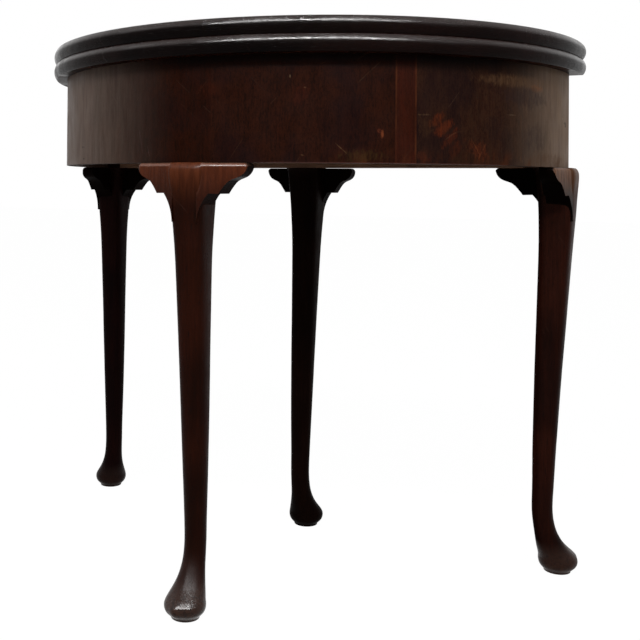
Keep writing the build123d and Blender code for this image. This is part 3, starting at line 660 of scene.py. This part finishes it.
# Finishes of the table's own woods and metals, each wood with its dark, brown and warm paint. The legs and
# their ears are one mahogany: their paints are lit and shaded copies of it, lightest on the front leg and
# painted shade on the legs and ears that stand away from the light
front_wood = (paint(22, 6, 2), paint(36, 11, 4), paint(48, 18, 8))
side_wood = (paint(18, 6, 4), paint(36, 13, 7), paint(48, 20, 12))
shaded_black_wood = (paint(6, 3, 2), paint(14, 6, 4), paint(20, 9, 6))
shaded_left_wood = (paint(9, 3, 3), paint(20, 6, 5), paint(28, 9, 7))
shaded_gate_wood = (paint(8, 3, 2), paint(17, 7, 4), paint(24, 10, 6))
leaf_wood = (paint(6, 3, 3), paint(15, 7, 6), paint(28, 13, 10))

# The knee paints are painted light on the legs and their ears
front_leg_wood = polished_wood(
    "front leg mahogany", "Z", front_wood, seed=1.0, rough=0.34, edge=paint(58, 30, 20), polish=0.03,
    rubbing=0.2, bright_up=0.06, foot_wear_and_light=1.0, knee=paint(122, 64, 38))
front_ear_wood = polished_wood(
    "front ear mahogany", "Z", front_wood, seed=9.0, rough=0.24, edge=paint(104, 70, 52), polish=0.05,
    rubbing=0.1, bright_up=0.30, painted_up_light=paint(134, 96, 78), knee=paint(112, 56, 32), faces=(0.0, -1.0, 0.0))
right_leg_wood = polished_wood(
    "right leg mahogany", "Z", side_wood, seed=3.0, rough=0.36, edge=paint(52, 32, 24), polish=0.02,
    rubbing=0.2, foot_wear_and_light=0.55, knee=paint(128, 92, 68), faces=(0.87, -0.50, 0.0))
right_ear_wood = polished_wood(
    "right ear mahogany", "Z", shaded_black_wood, seed=5.0, rough=0.36, edge=paint(30, 20, 16), polish=0.03,
    rubbing=0.2, knee=paint(158, 116, 92), faces=(1.0, 0.0, 0.0))
left_leg_wood = polished_wood(
    "left leg mahogany, painted shade", "Z", shaded_left_wood, seed=7.0, rough=0.36, edge=paint(36, 20, 14), polish=0.012,
    rubbing=0.3, foot_wear_and_light=0.25)
gate_leg_wood = polished_wood(
    "gate leg mahogany, painted shade", "Z", shaded_gate_wood, seed=8.0, rough=0.36, edge=paint(36, 20, 14), polish=0.008,
    rubbing=0.3)
shaded_ear_wood = polished_wood(
    "ear mahogany", "Z", shaded_black_wood, seed=11.0, rough=0.40, edge=paint(30, 20, 16), polish=0.004, rubbing=0.2)
top_wood = polished_wood(
    "leaf mahogany", "X", leaf_wood, seed=13.0, rough=0.18, edge=paint(40, 24, 20), polish=0.03, rubbing=0.65,
    bands=30.0, bright_up=0.32, painted_up_light=paint(40, 22, 18),
    level_paints=(paint(34, 14, 9), paint(58, 26, 15)))
pine = {grain: plain_wood("carcase pine, grain " + grain, grain, paint(118, 84, 60), paint(88, 58, 40),
                          paint(48, 34, 26), seed=20.0) for grain in "XYZ"}
# A darker copy of the carcase pine on the frieze core: painted shade
shaded_core_pine = plain_wood("core pine, painted shade", "X", paint(60, 42, 32), paint(42, 28, 22), paint(22, 15, 12),
                          seed=25.0, polish=0.02)
beech = plain_wood("rail beech", "X", paint(150, 108, 72), paint(118, 78, 48), paint(70, 48, 34), seed=31.0)
oak = plain_wood("peg oak", "Y", paint(120, 84, 54), paint(82, 54, 34), paint(50, 34, 24), seed=37.0,
                 saw_marks=False)
brass = old_metal("hinge brass", paint(158, 122, 70), paint(78, 58, 34), seed=41.0, rough=0.36)
iron = old_metal("iron", paint(112, 106, 100), paint(62, 44, 36), seed=47.0, rough=0.42)

# The sheets of veneer from the left: dark, brown and warm paint, how clouded, seed and roughness
veneer_looks = [
    (paint(26, 13, 11), paint(38, 21, 16), paint(48, 29, 22), 0.40, 51.0, 0.42),
    (paint(30, 14, 12), paint(44, 22, 18), paint(52, 27, 21), 0.45, 53.0, 0.38),
    (paint(18, 5, 1), paint(32, 11, 4), paint(44, 16, 6), 0.30, 55.0, 0.40),
    (paint(18, 5, 2), paint(34, 12, 5), paint(48, 20, 9), 0.45, 57.0, 0.42),
    (paint(36, 12, 5), paint(58, 20, 9), paint(52, 22, 12), 0.15, 59.0, 0.42),
    (paint(26, 10, 6), paint(42, 20, 12), paint(54, 32, 20), 0.50, 61.0, 0.44),
    (paint(28, 12, 8), paint(48, 27, 17), paint(62, 40, 28), 0.60, 63.0, 0.46),
]

# The narrow sheet with red edges
red_strip_number = 5
veneers = {number: veneer("frieze veneer " + str(number), *look, red_strip=number == red_strip_number)
           for number, look in enumerate(veneer_looks, 1)}

# The finish of each carried-over piece, by the start of its name. The first that fits counts
finishes = [
    ("front_leg_", front_ear_wood), ("right_leg_", right_ear_wood), ("left_leg_", shaded_ear_wood),
    ("gate_leg_", shaded_ear_wood), ("front_leg", front_leg_wood), ("right_leg", right_leg_wood),
    ("left_leg", left_leg_wood), ("gate_leg", gate_leg_wood),
    ("upper_leaf", top_wood), ("lower_leaf", top_wood),
    ("left_frieze_block", shaded_core_pine), ("right_frieze_block", shaded_core_pine),
    ("inner_back_rail", pine["X"]), ("fixing_blocks", pine["X"]), ("cross_brace", pine["Y"]),
    ("glue_blocks", pine["Z"]),
    ("left_outer_rail", beech), ("right_outer_rail", beech), ("fly_rail", beech),
    ("corner_pegs", oak), ("gate_pegs", oak),
    ("fixing_screws", iron), ("knuckle_pin", iron),
    ("left_hinge", brass), ("middle_hinge", brass), ("right_hinge", brass), ("hinge_pins", brass),
    ("lower_hinge_screws", brass), ("upper_hinge_screws", brass),
]


def finish_of(name):
    """The finish of a piece by its name, or none for the linings, which cloths stand for."""
    if name.startswith("frieze_veneer_"):
        return veneers[int(name[-1])]
    return next((finish for start, finish in finishes if name.startswith(start)), None)


def finish_piece(piece, finish):
    """Gives a carried-over piece its finish on every slot."""
    if not piece.material_slots:
        piece.data.materials.append(finish)
    for slot in piece.material_slots:
        slot.material = finish


for name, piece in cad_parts.items():
    finish = finish_of(name)
    if finish:
        finish_piece(piece, finish)


# The cloths: rings and steps of the mesh, how far the nap and the turned-down edge dip, where that edge
# starts as a share of the way out, how far the cloth stays inside its lining, and its share of the thickness
cloth_rings = 60
cloth_steps = 200
nap_dip = 0.00005
edge_dip = 0.00035
edge_starts = 0.985
edge_width = 0.015
cloth_margin = 0.00008
cloth_share = 0.6


def cloth_dip(x, y, share):
    """How far the cloth lies below flat, at a place and a share of the way from the middle to its edge."""
    broad_waves = math.sin(x * 71.0) * math.sin(y * 83.0 + 1.3)
    slanting_waves = math.sin(x * 190.0 + y * 150.0)
    soft = broad_waves + 0.6 * slanting_waves
    return nap_dip * soft + edge_dip * max(0.0, share - edge_starts) / edge_width


def add_object(name, data):
    """Puts a mesh, a lamp or a camera into the scene."""
    made = bpy.data.objects.new(name, data)
    bpy.context.scene.collection.objects.link(made)
    return made


def cloth_lining(name, node, body, faces_up, finish):
    """The baize glued into the recess of one leaf: a half round of cloth, turned down at its cut edge."""
    low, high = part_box(node)
    chord_y = high.y
    cut_in = round_centre_y - chord_y
    reach = math.sqrt((high.y - low.y + cut_in) ** 2 - cut_in ** 2)
    points = []
    faces = []
    for ring in range(cloth_rings + 1):
        share = ring / cloth_rings
        for step in range(cloth_steps + 1):
            edge_x = -reach * math.cos(math.pi * step / cloth_steps)
            edge_y = cut_in - math.sqrt(reach ** 2 + cut_in ** 2 - edge_x ** 2)
            x = edge_x * share
            y = chord_y + edge_y * share
            dip = cloth_dip(x, y, share)
            level = high.z - cloth_margin - dip if faces_up else low.z + cloth_margin + dip
            points.append((x, y, level))
    row = cloth_steps + 1
    for ring in range(cloth_rings):
        for step in range(cloth_steps):
            corner = ring * row + step
            quad = (corner, corner + 1, corner + row + 1, corner + row)
            faces.append(quad[::-1] if faces_up else quad)
    shape = bpy.data.meshes.new(name)
    shape.from_pydata(points, [], faces)
    shape.update()
    shape.polygons.foreach_set("use_smooth", [True] * len(shape.polygons))
    piece = add_object(name, shape)
    piece.data.materials.append(finish)
    thick = piece.modifiers.new("thickness", "SOLIDIFY")
    thick.thickness = (high.z - low.z) * cloth_share
    thick.offset = -1.0
    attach(piece, body)
    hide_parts(node)


cloth_lining("lower_baize", "lower_lining", "frame", True, baize("baize, lower leaf", 71.0))
cloth_lining("upper_baize", "upper_lining", "flap", False, baize("baize, upper leaf", 73.0))


# Stage, light and camera. Light on the floor meets its grey, and the camera and reflections see its glow
floor_half_width = 14.0
floor_grey = 0.50
floor_glow = 1.06
floor_white_share = 0.93
room_light = 0.22


def seen_rays(tree):
    """One for rays from the camera, in reflections and through glass, and none for the light on the table."""
    rays = tree.nodes.new("ShaderNodeLightPath").outputs
    other_rays = larger(tree, rays["Is Glossy Ray"], rays["Is Transmission Ray"])
    return larger(tree, rays["Is Camera Ray"], other_rays)


def mix_to_output(tree, share, first, second, output):
    """Links two shaders, mixed by a share, to the output of a material or world."""
    mixed = tree.nodes.new("ShaderNodeMixShader")
    tree.links.new(share, mixed.inputs[0])
    tree.links.new(first.outputs[0], mixed.inputs[1])
    tree.links.new(second.outputs[0], mixed.inputs[2])
    tree.links.new(mixed.outputs[0], tree.nodes.new(output).inputs["Surface"])


def make_floor():
    """A plain pale floor, white to the camera and in reflections, that keeps a faint shadow."""
    shape = bpy.data.meshes.new("floor")
    half = floor_half_width
    corners = [(-half, -half, 0), (half, -half, 0), (half, half, 0), (-half, half, 0)]
    shape.from_pydata(corners, [], [(0, 1, 2, 3)])
    floor = add_object("floor", shape)
    made = bpy.data.materials.new("pale floor")
    made.use_nodes = True
    tree = made.node_tree
    tree.nodes.clear()
    pale = put(tree, "ShaderNodeBsdfDiffuse", {"Color": (floor_grey, floor_grey, floor_grey, 1.0)})
    white = put(tree, "ShaderNodeEmission", {"Color": (1, 1, 1, 1), "Strength": floor_glow})
    share = times(tree, seen_rays(tree), floor_white_share)
    mix_to_output(tree, share, pale, white, "ShaderNodeOutputMaterial")
    floor.data.materials.append(made)


def make_surroundings():
    """White all round for the camera and in reflections, and a soft dim room for the light."""
    world = bpy.data.worlds.new("studio")
    bpy.context.scene.world = world
    world.use_nodes = True
    tree = world.node_tree
    tree.nodes.clear()
    soft = put(tree, "ShaderNodeBackground", {"Color": (1, 1, 1, 1), "Strength": room_light})
    white = put(tree, "ShaderNodeBackground", {"Color": (1, 1, 1, 1), "Strength": 1.0})
    mix_to_output(tree, seen_rays(tree), soft, white, "ShaderNodeOutputWorld")


def soft_lamp(name, place, aim, width, height, power, only_highlights):
    """A soft rectangular lamp that faces a point, or one that shows in polished surfaces alone."""
    data = bpy.data.lights.new(name, "AREA")
    data.shape = "RECTANGLE"
    data.size = width
    data.size_y = height
    data.energy = power
    lamp = add_object(name, data)
    lamp.location = place
    lamp.rotation_euler = (Vector(aim) - Vector(place)).to_track_quat("-Z", "Y").to_euler()
    lamp.visible_diffuse = not only_highlights


# Name, place, the point it faces, width, height, watts, and whether it shows in highlights alone
lamps = [
    ("front strip lamp", (0.70, -1.95, 2.45), (0.0, -0.10, 0.62), 2.6, 0.07, 52.0, False),
    ("highlight strip", (0.95, -2.45, 2.75), (0.0, -0.10, 0.62), 4.6, 0.06, 430.0, True),
    ("front lamp", (0.9, -2.8, 1.7), (0.0, -0.1, 0.5), 1.4, 1.0, 8.0, False),
    ("left lamp", (-1.9, -1.3, 1.9), (0.0, -0.1, 0.45), 0.9, 0.9, 4.0, False),
    ("right lamp", (2.4, -0.6, 1.5), (0.0, -0.1, 0.45), 0.9, 0.9, 7.0, False),
]

# The photograph's camera, fitted to the outlines of the table: in pixels of the photograph, in degrees, and
# its place in metres from the middle of the half-round plan
photo_size = 640
focal_length = 957.11
optical_centre = (207.98, 173.37)
camera_turned = 28.948
camera_tilted = 0.590
camera_rolled = 0.510
camera_place = (0.5829, round_centre_y - 1.3904, 0.5238)
sensor_width = 36.0


def make_camera():
    """The photograph's camera: almost level, low under the frieze, turned round to the right of the table."""
    data = bpy.data.cameras.new("camera")
    data.sensor_width = sensor_width
    data.lens = sensor_width * (focal_length / photo_size)
    data.shift_x = (photo_size / 2 - optical_centre[0]) / photo_size
    data.shift_y = (optical_centre[1] - photo_size / 2) / photo_size
    data.clip_start = 0.05
    data.clip_end = 60.0
    camera = add_object("camera", data)
    camera.matrix_world = (Matrix.Translation(camera_place)
                           @ Matrix.Rotation(math.radians(camera_turned), 4, "Z")
                           @ Matrix.Rotation(math.radians(90) + math.radians(camera_tilted), 4, "X")
                           @ Matrix.Rotation(math.radians(camera_rolled), 4, "Z"))
    bpy.context.scene.camera = camera


make_floor()
make_surroundings()
for lamp in lamps:
    soft_lamp(*lamp)
make_camera()
bpy.context.scene.view_settings.view_transform = "Standard"
